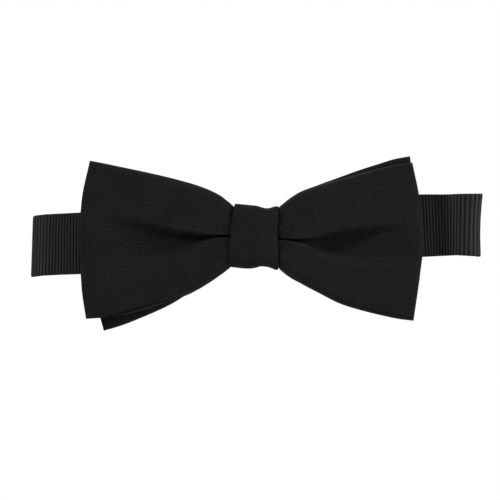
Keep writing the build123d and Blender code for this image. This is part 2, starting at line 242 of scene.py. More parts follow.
def woven(name, dark, light, thread, grain, bump, roughness, specular, sheen):
    """Plain-weave cloth: threads over and under each other, slubs and faint patches of tone."""
    n = Nodes(name)
    flat = n.add("ShaderNodeUVMap", uv_map="cloth").outputs["UV"]
    drift = n.noise(flat, 1.7, 3.0)
    parts = n.add("ShaderNodeSeparateXYZ", {"Vector": flat})
    turn = math.pi / (thread / 10)
    wander = n.math("MULTIPLY", drift, 5.0)
    warp = n.math("SINE", n.math("ADD", n.math("MULTIPLY", parts.outputs["X"], turn), wander))
    weft = n.math("SINE", n.math("ADD", n.math("MULTIPLY", parts.outputs["Y"], turn), wander))
    over = n.math("MULTIPLY", warp, weft)
    slub = n.noise(flat, grain, 3.0, 0.65)
    height = n.math("ADD", n.math("MULTIPLY", over, 0.5), n.math("MULTIPLY", slub, 1.6))
    patch = n.noise(flat, 0.9, 2.0)
    tone = n.math("ADD", n.math("MULTIPLY", slub, 0.86), n.math("MULTIPLY", patch, 0.14))
    colour = n.ramp(tone, 0.36, 0.66, dark, light)
    rough = n.spread(slub, 0.3, 0.7, roughness - 0.07, roughness + 0.07)
    return n.shade(
        Base_Color=colour,
        Roughness=rough,
        Normal=n.bump(height, bump * MM),
        Specular_IOR_Level=specular,
        Sheen_Weight=sheen,
        Sheen_Roughness=0.45,
        Sheen_Tint=(0.75, 0.77, 0.85, 1),
    )


# The distance from one rib of a ribbon to the next.
RIB = 1.08


def grosgrain(name):
    """Ribbon whose ribs are in the mesh: painted shade darkening their grooves, random tone from fuzz,
    and the warp across them.
    """
    n = Nodes(name)
    flat = n.add("ShaderNodeUVMap", uv_map="cloth").outputs["UV"]
    parts = n.add("ShaderNodeSeparateXYZ", {"Vector": flat})
    stretch = n.add("ShaderNodeMapping", {"Vector": flat, "Scale": (0.35, 1.0, 1.0)}).outputs["Vector"]
    fuzz = n.noise(stretch, 26.0, 3.0, 0.6)
    wander = n.math("MULTIPLY", n.noise(flat, 1.3), 4.0)
    warp = n.math("SINE", n.math("ADD", n.math("MULTIPLY", parts.outputs["Y"], 180.0), wander))
    height = n.math("ADD", n.math("MULTIPLY", warp, 0.35), fuzz)
    rib_turn = n.math("MULTIPLY", parts.outputs["X"], math.pi * 10 / RIB)
    rib = n.math("ABSOLUTE", n.math("SINE", rib_turn))
    # The colour is painted shade in the grooves, darker between the rib crests, mixed with random tone
    # from the fuzz; the grooves' specular is lowered as well.
    tone = n.math("ADD", n.math("MULTIPLY", rib, 0.45), n.math("MULTIPLY", fuzz, 0.6))
    colour = n.ramp(tone, 0.38, 0.78, (0.0028, 0.0028, 0.0029), (0.0142, 0.0142, 0.0145))
    rough = n.spread(fuzz, 0.3, 0.7, 0.5, 0.66)
    return n.shade(
        Base_Color=colour,
        Roughness=rough,
        Normal=n.bump(height, 0.05 * MM),
        Specular_IOR_Level=n.spread(rib, 0.25, 0.9, 0.02, 0.09),
    )


def thread_material(name):
    """Black polyester thread, twisted, with a slight shine."""
    n = Nodes(name)
    place = n.add("ShaderNodeTexCoord").outputs["Object"]
    twist = n.add("ShaderNodeMapping", {"Vector": place, "Rotation": (0.6, 0.5, 0.7)}).outputs["Vector"]
    plies = n.noise(twist, 4200.0, 2.0, 0.6)
    colour = n.ramp(plies, 0.3, 0.7, (0.006, 0.006, 0.0065), (0.03, 0.03, 0.031))
    rough = n.spread(plies, 0.3, 0.7, 0.38, 0.55)
    normal = n.bump(plies, 0.06 * MM)
    return n.shade(Base_Color=colour, Roughness=rough, Normal=normal, Specular_IOR_Level=0.4)


def nickel(name):
    """Nickel-plated steel wire and strip: fine drawing lines and dulled places."""
    n = Nodes(name)
    place = n.add("ShaderNodeTexCoord").outputs["Object"]
    drawn = n.add("ShaderNodeMapping", {"Vector": place, "Scale": (0.12, 1.0, 1.0)}).outputs["Vector"]
    lines = n.noise(drawn, 5200.0, 3.0, 0.6)
    dull = n.noise(place, 420.0, 3.0, 0.55)
    tone = n.math("ADD", n.math("MULTIPLY", lines, 0.4), n.math("MULTIPLY", dull, 0.6))
    colour = n.ramp(tone, 0.32, 0.68, (0.5, 0.49, 0.475), (0.72, 0.715, 0.7))
    rough = n.spread(tone, 0.3, 0.7, 0.2, 0.38)
    return n.shade(Base_Color=colour, Roughness=rough, Metallic=1.0, Normal=n.bump(lines, 0.012 * MM))


def paper_felt(name):
    """Undyed interlining, inside where it hardly shows."""
    n = Nodes(name)
    place = n.add("ShaderNodeTexCoord").outputs["Object"]
    fibre = n.noise(place, 2600.0, 4.0, 0.65)
    colour = n.ramp(fibre, 0.3, 0.7, (0.42, 0.4, 0.36), (0.66, 0.64, 0.6))
    return n.shade(Base_Color=colour, Roughness=0.9, Normal=n.bump(fibre, 0.1 * MM))


bow_cloth = woven(
    "bow_cloth",
    dark=(0.0027, 0.0027, 0.0029),
    light=(0.0097, 0.0097, 0.0101),
    thread=0.42,
    grain=16.0,
    bump=0.075,
    roughness=0.86,
    specular=0.03,
    sheen=0.008,
)
ribbon_cloth = grosgrain("band_grosgrain")
sewing_thread = thread_material("sewing_thread")
nickel_plate = nickel("nickel_plate")
interlining_felt = paper_felt("interlining_felt")


# ---------------------------------------------------------------- bow wings

# Edges of each wing, as (distance from the knot's middle, height), then the folded end from
# its lower tip to its upper one. The wings of a bow are never quite alike.
FRONT_WINGS = {
    "left": {
        "upper": [
            (0, 8.8), (6.0, 9.0), (7.6, 10.8), (10.2, 13.0), (12.5, 14.75), (19.7, 18.0), (27.0, 20.2),
            (34.2, 22.0), (41.4, 23.6), (48.6, 25.1), (55.8, 26.6), (59.6, 27.3),
        ],
        "lower": [
            (0, -8.7), (6.4, -8.8), (8.9, -11.4), (12.5, -14.2), (19.7, -18.9), (24.4, -21.3),
            (30.0, -23.3), (36.0, -25.4), (42.0, -27.2), (48.6, -28.7), (55.0, -29.5), (61.0, -29.9),
        ],
        "end": [(61.0, -29.9), (62.6, -18.5), (63.4, 0.2), (62.6, 12.6), (59.6, 27.3)],
    },
    "right": {
        "upper": [
            (0, 8.8), (6.8, 8.9), (9.3, 11.0), (12.7, 13.7), (16.4, 16.0), (23.6, 18.6),
            (30.8, 20.6), (38.0, 22.5), (45.2, 24.5), (51.0, 25.8), (57.0, 26.6),
        ],
        "lower": [
            (0, -8.7), (6.5, -9.0), (9.3, -12.3), (12.7, -14.95), (16.4, -17.0), (23.6, -20.8),
            (30.8, -24.4), (38.0, -26.7), (45.2, -28.5), (52.5, -30.0), (57.4, -30.6),
        ],
        "end": [(57.4, -30.6), (59.9, -13.0), (60.9, -3.0), (59.7, 12.6), (57.0, 26.6)],
    },
}
REAR_WINGS = {
    "left": {
        "upper": [
            (0, 8.5), (6.6, 8.6), (9.2, 11.0), (14.0, 13.2), (19.7, 15.0), (28.0, 16.8),
            (37.8, 18.6), (47.0, 20.2), (57.2, 21.6),
        ],
        "lower": [
            (0, -8.5), (6.6, -8.6), (9.2, -10.6), (13.0, -13.4), (19.7, -17.9), (24.4, -21.0),
            (30.0, -24.5), (36.0, -27.4), (42.0, -29.95), (48.6, -32.5), (54.7, -34.3),
        ],
        "end": [(54.7, -34.3), (58.0, -21.0), (59.4, -6.5), (59.0, 8.0), (57.2, 21.6)],
    },
    "right": {
        "upper": [
            (0, 8.5), (6.8, 8.6), (9.3, 10.8), (12.7, 13.4), (16.4, 15.8), (23.6, 18.8),
            (30.8, 21.4), (38.0, 24.0), (45.2, 26.3), (50.8, 28.0), (56.3, 29.0),
        ],
        "lower": [
            (0, -8.5), (6.8, -8.6), (9.3, -11.0), (16.4, -15.0), (24.0, -17.9), (32.0, -20.5),
            (43.0, -22.8), (55.0, -24.6),
        ],
        "end": [(55.0, -24.6), (57.4, -12.0), (58.3, 2.0), (57.9, 15.0), (56.3, 29.0)],
    },
}

# The pleat of each front wing: its upper lip, its lower slope and its depth along the wing.
FRONT_PLEAT = {
    "left": {
        "lip": [(8, 0.25), (18, 0.3), (26, 1.0), (34.2, 2.3), (45.7, 5.0), (60, 7.0)],
        "slope": [
            (8, -0.35), (14, -0.7), (18, -1.7), (23.4, -4.6), (30.6, -7.4), (41.4, -9.2), (60, -11.0),
        ],
    },
    "right": {
        "lip": [
            (8, -0.75), (14, -1.15), (18.2, -1.2), (29, 0.5), (34.4, 1.5), (48.8, 2.6), (60, 3.0),
        ],
        "slope": [
            (8, -1.35), (14, -1.9), (18.2, -3.1), (23.6, -6.0), (30.8, -8.6), (41.6, -9.8), (60, -10.5),
        ],
    },
}
FRONT_PLEAT_DEPTH = [
    (0, 1.2), (8, 1.5), (13, 2.2), (19, 3.6), (26, 5.0), (33, 4.7), (41, 3.1), (49, 1.3), (57, 0),
]
REAR_PLEAT = {
    "left": {
        "lip": [(8, 0.4), (18, 1.4), (40, 4.0), (60, 5.0)],
        "slope": [(8, -0.5), (18, -1.8), (40, -6.5), (60, -8)],
    },
    "right": {
        "lip": [(8, 0.5), (18, 1.6), (40, 4.6), (60, 5.5)],
        "slope": [(8, -0.4), (18, -1.6), (40, -5.5), (60, -7)],
    },
}
REAR_PLEAT_DEPTH = [(0, 0.8), (8, 1.1), (14, 1.7), (24, 1.6), (36, 0.9), (48, 0.3), (56, 0)]

# Depths along a wing: its front face, its back face and the seam at its edges, and the radius
# of the roll along the front face's long edges.
FRONT_DEPTHS = {
    "front": [
        (0, -12.5), (6.5, -12.7), (9.2, -13.6), (14, -13.9), (20, -13.7), (26, -13.2),
        (40, -12.0), (52, -10.8), (64, -9.6),
    ],
    "back": [(0, -7.9), (8, -7.9), (11, -7.7), (26, -7.1), (64, -6.5)],
    "roll": [(0, 3.0), (9, 3.6), (16, 4.2), (26, 3.2), (40, 2.0), (64, 1.5)],
    "seam": [(0, -9.6), (9, -9.4), (26, -8.9), (64, -7.9)],
}
REAR_DEPTHS = {
    "front": [(0, -7.4), (8, -7.4), (11, -7.25), (26, -6.65), (64, -6.0)],
    "back": [(0, -4.5), (7.5, -4.5), (10.5, -3.6), (14, -3.3), (26, -3.2), (64, -3.5)],
    "roll": [(0, 1.6), (9, 2.2), (26, 1.8), (64, 1.3)],
    "seam": [(0, -6.0), (26, -5.1), (64, -4.8)],
}
# The lower edge of the left front wing is turned twice, which shows as a step along it.
TURNED_EDGE = [
    (20, -18.6), (24.6, -20.65), (28.5, -21.65), (37.6, -24.1), (45.7, -26.5), (54.7, -28.8), (60, -29.6),
]
CLOTH_THICK = 0.6
KNOT_REGION = 7.4
TIP_ROLL = 1.6
WING_LENGTH = 60.0
GATHERS = [(0, 0.12), (9, 0.22), (16, 0.1), (26, 0)]


def along_wing():
    """Places from the knot's middle to a wing's end, 0 to 1, close together where it bends."""
    inside = np.linspace(0, KNOT_REGION, 6)
    crease = np.arange(KNOT_REGION + 0.3, 24, 0.36)
    open_part = np.arange(24, WING_LENGTH - TIP_ROLL - 0.4, 0.72)
    tip = WING_LENGTH - TIP_ROLL * np.array([1, 0.76, 0.54, 0.36, 0.21, 0.1, 0.03, 0])
    return np.concatenate([inside, crease, open_part, tip]) / WING_LENGTH


def across_wing(rows):
    """Places from a wing's lower edge to its upper, -1 to 1, closest at the pleat and edges."""
    even = np.linspace(-1, 1, rows)
    eased = even - 0.62 / (2 * math.pi) * np.sin(2 * math.pi * even)
    rims = 1 - np.array([0.0007, 0.0026, 0.006, 0.011, 0.018])
    inner = eased[np.abs(eased) < 0.977]
    return np.sort(np.concatenate([[-1, 1], rims, -rims, inner]))


def end_line(points, share):
    """The folded end from its lower tip (share 0) to its upper (share 1)."""
    points = np.array(points, float)
    run = np.concatenate([[0], np.cumsum(np.linalg.norm(np.diff(points, axis=0), axis=1))])
    run /= run[-1]
    return [flow(share, np.stack([run, points[:, k]], 1)) for k in (0, 1)]


def wing_outline(wing, a, b):
    """Distance from the middle and height, over a grid of places along (a) and across (b)."""
    low_tip, high_tip = wing["end"][0], wing["end"][-1]
    a, t = a[:, None], (b[None, :] + 1) / 2
    low_x, high_x = a * low_tip[0], a * high_tip[0]
    low_z, high_z = flow(low_x, wing["lower"]), flow(high_x, wing["upper"])
    end_x, end_z = end_line(wing["end"], t)
    pull = a**5
    x = low_x + (high_x - low_x) * t + pull * (end_x - low_tip[0] - (high_tip[0] - low_tip[0]) * t)
    z = low_z + (high_z - low_z) * t + pull * (end_z - low_tip[1] - (high_tip[1] - low_tip[1]) * t)
    half = (high_z - low_z) / 2 + 0 * t
    return x, z, half


def pleat(x, z, lines, depths):
    """How far the pleat sinks: a steep lip above, a longer slope below."""
    lip, slope = flow(x, lines["lip"]), flow(x, lines["slope"])
    width = lip - slope
    above = 0.35 + 0.16 * width
    below = 0.35 + 0.22 * width
    top = 1 - ease(z, lip - above * 0.5, lip + above * 0.7)
    bottom = ease(z, slope - below * 0.7, slope + below * 0.9)
    return flow(x, depths) * top * bottom


def wing_faces(side, wings, depths, rows, rear, step=1, inset=0.0):
    """Front and back faces of one wing, as grids of points from the middle out.

    With a step the grid is coarser, and with an inset it is the cloth's inner face.
    """
    wing = wings[side]
    sign = -1 if side == "left" else 1
    a = along_wing()
    b = across_wing(rows)
    if step > 1:
        a = np.unique(np.concatenate([a[:-8:step], a[-8:]]))
        b = np.unique(np.concatenate([b[:6], b[6:-6:step], b[-6:]]))
    narrow = 1 - inset / WING_LENGTH
    x, z, half = wing_outline(wing, a * narrow, b)
    if inset:
        z = z * (1 - inset / half)
    to_edge = (1 - np.abs(b[None, :])) * (half - inset)
    to_end = (1 - a[:, None]) * WING_LENGTH + 0 * x
    front, back = flow(x, depths["front"]), flow(x, depths["back"])
    seam, roll = flow(x, depths["seam"]), flow(x, depths["roll"])
    rise = rolled(to_edge, roll) * rolled(to_end, TIP_ROLL)
    rise_back = rolled(to_edge, TIP_ROLL) * rolled(to_end, TIP_ROLL)
    y_front = seam - (seam - front) * rise
    y_back = seam + (back - seam) * rise_back
    fade = ease(to_edge, 0.2, 4.0) * ease(to_end, 0.2, 4.0)
    if rear:
        y_back = y_back - pleat(x, z, REAR_PLEAT[side], REAR_PLEAT_DEPTH) * fade
        y_back = y_back + 0.12 * unevenness(x * sign, z, 2.0) * fade
    else:
        y_front = y_front + pleat(x, z, FRONT_PLEAT[side], FRONT_PLEAT_DEPTH) * fade
        gathers = np.sin(z * 1.15 + 0.8 * sign) * flow(x, GATHERS)
        y_front = y_front + (0.03 * unevenness(x * sign, z, 0.4) + gathers) * fade
        if side == "left":
            line = flow(x, TURNED_EDGE)
            reach = ease(x, 21, 27) * (1 - ease(x, 53, 57))
            under = 1 - ease(z, line - 0.3, line + 0.25)
            groove = np.exp(-(((z - line + 0.35) / 0.4) ** 2))
            y_front = y_front + (0.75 * under + 0.8 * groove) * reach * rolled(to_edge, 0.9)
    if inset:
        middle = (y_front + y_back) / 2
        spare = np.maximum((y_back - y_front) / 2 - inset, 0.02)
        spare = spare * rolled(to_edge, 1.0) * rolled(to_end, 1.0)
        y_front, y_back = middle - spare, middle + spare
    return [np.stack([sign * x, y, z], -1) for y in (y_front, y_back)]


def bow(name, wings, depths, rows, rear):
    """One bow as a hollow closed shell of cloth: an outer skin and an inner face."""
    parts = []
    for step, inset, inside in ((1, 0.0, False), (2, CLOTH_THICK, True)):
        left = wing_faces("left", wings, depths, rows, rear, step, inset)
        right = wing_faces("right", wings, depths, rows, rear, step, inset)
        for face, (left_face, right_face) in enumerate(zip(left, right)):
            middle = (left_face[:1] + right_face[:1]) / 2
            points = np.concatenate([left_face[:0:-1], middle, right_face[1:]])
            part = grid(points, points[:, :, [0, 2]])
            parts.append(flipped(part) if (face == 0) == inside else part)
    return piece(name, parts, bow_cloth)


front_bow = bow("front_bow", FRONT_WINGS, FRONT_DEPTHS, 84, rear=False)
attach(front_bow, "bow")
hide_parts("front_bow_shell", "front_bow_interlining")

rear_bow = bow("rear_bow", REAR_WINGS, REAR_DEPTHS, 72, rear=True)
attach(rear_bow, "bow")
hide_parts("rear_bow_shell", "rear_bow_interlining")


# ---------------------------------------------------------------- loops and ribbons


class Route:
    """A flat path made of straight runs, arcs and soft double bends, measured along itself."""

    def __init__(self, start):
        self.points = [np.array(start, float)]

    def line(self, end):
        """Go straight to end."""
        start = self.points[-1]
        count = max(2, int(np.linalg.norm(np.array(end) - start) / 0.05))
        for t in np.linspace(0, 1, count + 1)[1:]:
            self.points.append(start + (np.array(end) - start) * t)
        return self

    def arc(self, centre, degrees):
        """Turn round centre, anticlockwise for positive degrees."""
        centre, arm = np.array(centre, float), self.points[-1] - np.array(centre, float)
        count = max(8, int(abs(math.radians(degrees)) * np.linalg.norm(arm) / 0.05))
        for turn in np.linspace(0, math.radians(degrees), count + 1)[1:]:
            c, s = math.cos(turn), math.sin(turn)
            self.points.append(centre + np.array([arm[0] * c - arm[1] * s, arm[0] * s + arm[1] * c]))
        return self

    def ease_to(self, end):
        """Go to end in a soft double bend, along the first axis at both of its ends."""
        start, end = self.points[-1], np.array(end, float)
        middle = (start[0] + end[0]) / 2
        for t in np.linspace(0, 1, 121)[1:]:
            ends = start * (1 - t) ** 3 + end * t**3
            steered = (1 - t) * np.array([middle, start[1]]) + t * np.array([middle, end[1]])
            self.points.append(ends + 3 * t * (1 - t) * steered)
        return self

    def sampled(self, spacing, closed=False):
        """Points evenly spaced along the path, the way across it, and distances along it."""
        dense = np.array(self.points)
        run = np.concatenate([[0], np.cumsum(np.linalg.norm(np.diff(dense, axis=0), axis=1))])
        count = max(8, round(run[-1] / spacing))
        places = np.linspace(0, run[-1], count + 1)
        points = np.stack([np.interp(places, run, dense[:, k]) for k in (0, 1)], 1)
        if closed:
            ahead, behind = np.roll(points[:-1], -1, 0), np.roll(points[:-1], 1, 0)
            tangent = ahead - behind
        else:
            tangent = np.gradient(points, axis=0)
        tangent /= np.linalg.norm(tangent, axis=1)[:, None]
        across = np.stack([-tangent[:, 1], tangent[:, 0]], 1)
        return points, across, places


RIBBON_HALF = 11.15
RIBBON_THICK = 0.8
SELVAGE = 0.65


def ribbon_profile(half_width, rows):
    """Places across a ribbon from one edge to the other, closest along its selvages."""
    rim = half_width - np.array([0, 0.04, 0.14, 0.3, SELVAGE - 0.1, SELVAGE + 0.1])
    middle = np.linspace(-half_width + 1.3, half_width - 1.3, rows)
    return np.sort(np.concatenate([rim, -rim, middle]))


def ribbed(run, width_place, half_width, thick, pitch):
    """Half the ribbon's thickness: rounded ribs with narrow grooves, and plain selvages."""
    waver = 0.05 * np.sin(0.9 * width_place[None, :] + 0.21 * run[:, None])
    wave = np.pi * (run[:, None] + waver) / pitch
    rib = np.sqrt(np.abs(np.sin(wave)))
    inner = ease(half_width - np.abs(width_place), SELVAGE - 0.15, SELVAGE + 0.15)[None, :]
    edge = rolled(half_width - np.abs(width_place), 0.3)[None, :]
    body = (0.58 + 0.48 * rib) * inner + 0.72 * (1 - inner)
    return thick / 2 * body * edge


def ribbon(name, route, axes, half_width=RIBBON_HALF, thick=RIBBON_THICK,
           pitch=RIB, rows=9, closed=False, shape=None):
    """A ribbon whose middle follows a flat route; axes are its origin, route axes and width.

    Its ribs are a pitch apart. shape gives how far each point moves across, out of and along it.
    """
    origin, axis_p, axis_q, axis_w = axes
    points, across, run = route.sampled(pitch / 6, closed)
    if closed:
        points = points[:-1]
    width = ribbon_profile(half_width, rows)
    half = ribbed(run[: len(points)], width, half_width, thick, pitch)
    lift = np.zeros((len(points), len(width)))
    rise, slide = np.zeros_like(lift), np.zeros_like(lift)
    if shape is not None:
        lift, rise, slide = shape(points, width)

    def face(side):
        offset = side * half + rise
        p = points[:, None, 0] + across[:, None, 0] * offset + slide
        q = points[:, None, 1] + across[:, None, 1] * offset
        w = width[None, :] + lift
        return origin + p[..., None] * axis_p + q[..., None] * axis_q + w[..., None] * axis_w

    run_uv = (run if closed else run[: len(points)]) * RIB / pitch
    flat = np.stack([run_uv[:, None] + 0 * width, width[None, :] + 0 * run_uv[:, None]], -1)
    front, back = face(1), face(-1)
    parts = [grid(front, flat, around_i=closed), flipped(grid(back, flat, around_i=closed))]
    if not closed:
        for end, turned in ((0, False), (-1, True)):
            strip = np.stack([back[end], front[end]])
            cap = grid(strip, np.stack([flat[end], flat[end]]))
            parts.append(flipped(cap) if turned else cap)
    made = piece(name, parts, ribbon_cloth)
    return made, float(run[-1])


BAND = (BAND_CENTRE, ALONG, BACK, UP)
BEND_RADIUS = 6.0
arm_pivot = band_place(pivot("eye_arm_open"))
BEND_X = -arm_pivot[0] - BEND_RADIUS
BEND_Y = arm_pivot[1]
FRONT_Y = BEND_Y - BEND_RADIUS
ARM_Y = BEND_Y + BEND_RADIUS
WRAP = 1.3
EYE_X = band_place(pivot("eye_ring_swing"))[0]
HOOK_X, BAR_Y, _ = band_place(pivot("hook_swing"))
SLIDER_X = band_place(node_middle("slider"))[0]
SLIDER_Y = BAR_Y - 0.95
RETURN_END_X = SLIDER_X - 12
EYE_TAIL_Y = 10.7
SLIDER_TAIL_Y = 9.9
TACK_BEHIND = 7.35
STRAP_JOIN_X = 72.0

GATHER_MIDDLE = band_place(node_middle("keeper"))[2]
GATHER_SHARE = 18.8 / 22.0


def gathered(u, y, width):
    """Behind the knot the band is drawn in: how far its threads shift up it, and the small folds."""
    drawn = ((1 - ease(np.abs(u), 12.0, 26.0)) * (y < 3))[:, None]
    shift = drawn * (GATHER_MIDDLE + (GATHER_SHARE - 1) * width[None, :])
    folds = 0.16 * np.sin(width[None, :] * 1.9 + 0.4 * np.sin(0.2 * u)[:, None])
    return shift, drawn * folds


def end_shape(points, width):
    """The band's ends droop, lean and swell where it turns back, and its middle is gathered."""
    u, y = points[:, 0], points[:, 1]
    out = np.abs(u)
    left = (u < 0)[:, None]
    shift, folds = gathered(u, y, width)
    before_arm = 1 - ease(y, 6.0, 10.5)
    share = (width[None, :] / RIBBON_HALF + 1) / 2
    low_turn = (ease(out, 76.0, 80.6) * before_arm)[:, None]
    high_turn = (ease(out, 73.0, 80.6) * before_arm)[:, None]
    droop = np.where(left, -0.35 * low_turn, high_turn * (-0.95 + 0.6 * share))
    raised = (ease(out, 45, 57) * (1 - ease(out, 60, 72)) * (y < 3))[:, None]
    lift = droop + shift + np.where(left, -0.15 * (1 - share), 0.5 * share) * raised
    near = ease(out, 64.5, np.where(u < 0, 74.0, 78.5)) * (1 - ease(y, 0.5, 6.0))
    bulge = np.where(left, 0.3, 3.2) * near[:, None]
    cup = np.where(left, 0.0, 0.35) * near[:, None] * (1 - (width[None, :] / RIBBON_HALF) ** 2)
    at_end = ease(out, 74.6, 80.0)[:, None]
    longer = np.where(left, 0.7, 0.8 + 0.0031 * width[None, :] ** 2) * at_end
    lean_end = ease(out, 62.0, 79.0)
    lean_left = 0.6 * ease(out, 48.0, 62.0) + 0.4 * lean_end
    lean = 0.082 * np.where(u < 0, lean_left, lean_end) * before_arm
    forward = np.where(left, 1, -1)
    return lift, forward * (bulge - cup + longer) + folds, lean[:, None] * width[None, :]


left_route = Route((0, FRONT_Y)).line((-BEND_X, FRONT_Y)).arc((-BEND_X, BEND_Y), -180)
left_route.line((EYE_X, ARM_Y)).arc((EYE_X, BAR_Y), -180)
left_route.ease_to((EYE_X - 4, EYE_TAIL_Y)).line((EYE_X - 11, EYE_TAIL_Y))
left_band, left_length = ribbon("neckband_left_ribbon", left_route, BAND, shape=end_shape)


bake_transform(left_band)
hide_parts("neckband_front", "neckband_left_bend", "neckband_eye_arm", "eye_ribbon_fold")

# The two halves of the band, and the stretches of strap, meet with a gap too small to see.
right_route = Route((0.02, FRONT_Y)).line((BEND_X, FRONT_Y)).arc((BEND_X, BEND_Y), 180)
right_route.line((STRAP_JOIN_X, ARM_Y))
right_band, right_length = ribbon("neckband_right_ribbon", right_route, BAND, shape=end_shape)
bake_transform(right_band)
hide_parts("neckband_right_bend")

strap_route = Route((STRAP_JOIN_X - 0.02, ARM_Y)).line((HOOK_X, ARM_Y)).arc((HOOK_X, BAR_Y), 180)
strap_route.line((HOOK_X + 3, BAR_Y - WRAP))
strap, strap_length = ribbon("adjustable_strap_ribbon", strap_route, BAND)
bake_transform(strap)
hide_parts("neckband_hook_arm", "strap_outer_layer", "hook_ribbon_turn")

return_route = Route((HOOK_X + 3.02, BAR_Y - WRAP)).line((RETURN_END_X + 0.04, BAR_Y - WRAP))
# Its ribs are close together at rest, because it is drawn out as the slider moves.
strap_return, _ = ribbon("strap_return_ribbon", return_route, BAND, pitch=RIB / 4)
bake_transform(strap_return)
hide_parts("strap_return_layer")

slider_route = Route((RETURN_END_X + 0.06, BAR_Y - WRAP)).line((SLIDER_X - 4, BAR_Y - WRAP))
slider_route.ease_to((SLIDER_X, SLIDER_Y - WRAP))
slider_route.arc((SLIDER_X, SLIDER_Y), 180).ease_to((SLIDER_X - 4, SLIDER_TAIL_Y))
slider_route.line((SLIDER_X - 11, SLIDER_TAIL_Y))
slider_fold, slider_length = ribbon("slider_ribbon_end", slider_route, BAND)
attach(slider_fold, "slider")
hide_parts("slider_ribbon_fold")


def rounded_loop(p_low, p_high, q_half, radius_low, radius_high):
    """A closed rounded rectangle about q = 0, started in the middle of its high-p side."""
    route = Route((p_high, 0)).line((p_high, q_half - radius_high))
    route.arc((p_high - radius_high, q_half - radius_high), 90)
    route.line((p_low + radius_low, q_half)).arc((p_low + radius_low, q_half - radius_low), 90)
    route.line((p_low, -q_half + radius_low)).arc((p_low + radius_low, -q_half + radius_low), 90)
    route.line((p_high - radius_high, -q_half)).arc((p_high - radius_high, -q_half + radius_high), 90)
    return route.line((p_high, 0))


keeper_route = rounded_loop(-1.4, 0.6, 10.0, 0.5, 0.5)
KEEPER = (BAND_CENTRE + GATHER_MIDDLE * UP, BACK, UP, ALONG)
keeper, keeper_length = ribbon(
    "keeper_loop", keeper_route, KEEPER,
    half_width=6.0, thick=0.62, rows=7, closed=True,
)
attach(keeper, "keeper")
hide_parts("keeper")


# ---------------------------------------------------------------- knot

# The knot's sides by height, and how far its upper and lower edges are from its middle height.
KNOT_LEFT = [(-12, -8.5), (-9.5, -8.95), (-5, -9.15), (0, -8.9), (5, -8.4), (8, -7.9), (12, -7.1)]
KNOT_RIGHT = [(-12, 8.6), (-6, 8.35), (1, 8.15), (6, 8.4), (12, 8.8)]
KNOT_TOP = [
    (-9.5, 11.7), (-7, 11.85), (-4.5, 11.55), (-2, 11.25), (0.5, 11.0),
    (2.3, 10.5), (4.4, 10.0), (6.2, 10.5), (7.8, 10.95), (9, 10.8),
]
KNOT_FOOT = [
    (-9.5, 11.3), (-7, 11.45), (-4, 11.7), (-2, 11.75), (0.5, 11.4),
    (2.3, 10.95), (4.4, 11.15), (6.2, 11.75), (7.8, 12.35), (9, 12.2),
]
KNOT_FRONT = -15.2
KNOT_BACK = -2.2
KNOT_HALF = 11.4
KNOT_WIDTH = 17.5
KNOT_FRONT_CORNER = 4.2
KNOT_BACK_CORNER = 2.0
KNOT_CLOTH = 0.8


def knot_loop(name, material, outer_inset, thick, trim, spacing, columns):
    """A wrapped strip round the waist, pinched a little right of its middle."""
    middle = outer_inset + thick / 2
    corners = KNOT_FRONT_CORNER - middle, KNOT_BACK_CORNER - middle / 2
    route = rounded_loop(KNOT_FRONT + middle, KNOT_BACK - middle, KNOT_HALF - middle, *corners)
    points, across, run = route.sampled(spacing, closed=True)
    points = points[:-1]
    share = np.linspace(0, 1, columns)
    share = np.sort(np.concatenate([share, [0.006, 0.02, 0.98, 0.994]]))
    y, z = points[:, None, 0], points[:, None, 1]
    outward = -across[:, None, :]
    left, right = flow(z, KNOT_LEFT) + trim, flow(z, KNOT_RIGHT) - trim
    x = left + (right - left) * share[None, :]
    up = np.maximum(outward[..., 1], 0)
    down = np.maximum(-outward[..., 1], 0)
    front = np.maximum(-outward[..., 0], 0)
    height = (flow(x, KNOT_TOP) - KNOT_HALF) * up - (flow(x, KNOT_FOOT) - KNOT_HALF) * down
    reach = np.abs(2 * share[None, :] - 1)
    crown = 0.75 * reach**2.6
    furrow = 0.3 * np.exp(-(((x - 3.6) / 1.6) ** 2)) * ease(np.abs(z), 2.0, 10.0)
    soft = 0.07 * unevenness(x * 2.2, z * 2.2, 5.0) * (1 - reach**6)
    depth = (crown + furrow + soft) * front + 0.25 * reach**3 * np.maximum(outward[..., 0], 0)
    parts, sides = [], []
    thickness = thick / 2 * rolled(np.minimum(share, 1 - share) * KNOT_WIDTH, thick / 2)[None, :]
    for side in (1, -1):
        offset = side * thickness
        yy = y + outward[..., 0] * offset + depth * np.where(front > 0, 1, -1)
        zz = z + outward[..., 1] * offset + height - 0.25 * crown * (up - down)
        sides.append(np.stack([x + 0 * yy, yy, zz], -1))
    flat_across = KNOT_WIDTH * share[None, :] + 0 * run[:, None]
    flat = np.stack([flat_across, run[:, None] + 0 * share[None, :]], -1)
    parts.append(flipped(grid(sides[0], flat, around_i=True)))
    parts.append(grid(sides[1], flat, around_i=True))
    return piece(name, parts, material), float(run[-1])


knot, knot_length = knot_loop(
    "knot_wrap_cloth", bow_cloth,
    outer_inset=0.0, thick=KNOT_CLOTH, trim=0.0, spacing=0.28, columns=60,
)
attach(knot, "bow")
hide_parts("knot_wrap")

knot_lining, _ = knot_loop(
    "knot_lining", interlining_felt,
    outer_inset=KNOT_CLOTH + 0.05, thick=0.6, trim=2.0, spacing=0.8, columns=12,
)
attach(knot_lining, "bow")
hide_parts("knot_interlining")


# ---------------------------------------------------------------- carried-over nodes

NODE_MATERIALS = {
    "eye_ring": (nickel_plate, "hardware_metal"),
    "hook": (nickel_plate, "hardware_metal"),
    "slider": (nickel_plate, "hardware_metal"),
    "gathering_thread": (sewing_thread, "thread"),
    "keeper_tack": (sewing_thread, "thread"),
}
for node, (material, slot_name) in NODE_MATERIALS.items():
    shown = frame["nodes"][node]
    shown.data.materials.clear()
    shown.data.materials.append(material)


# ---------------------------------------------------------------- stitches


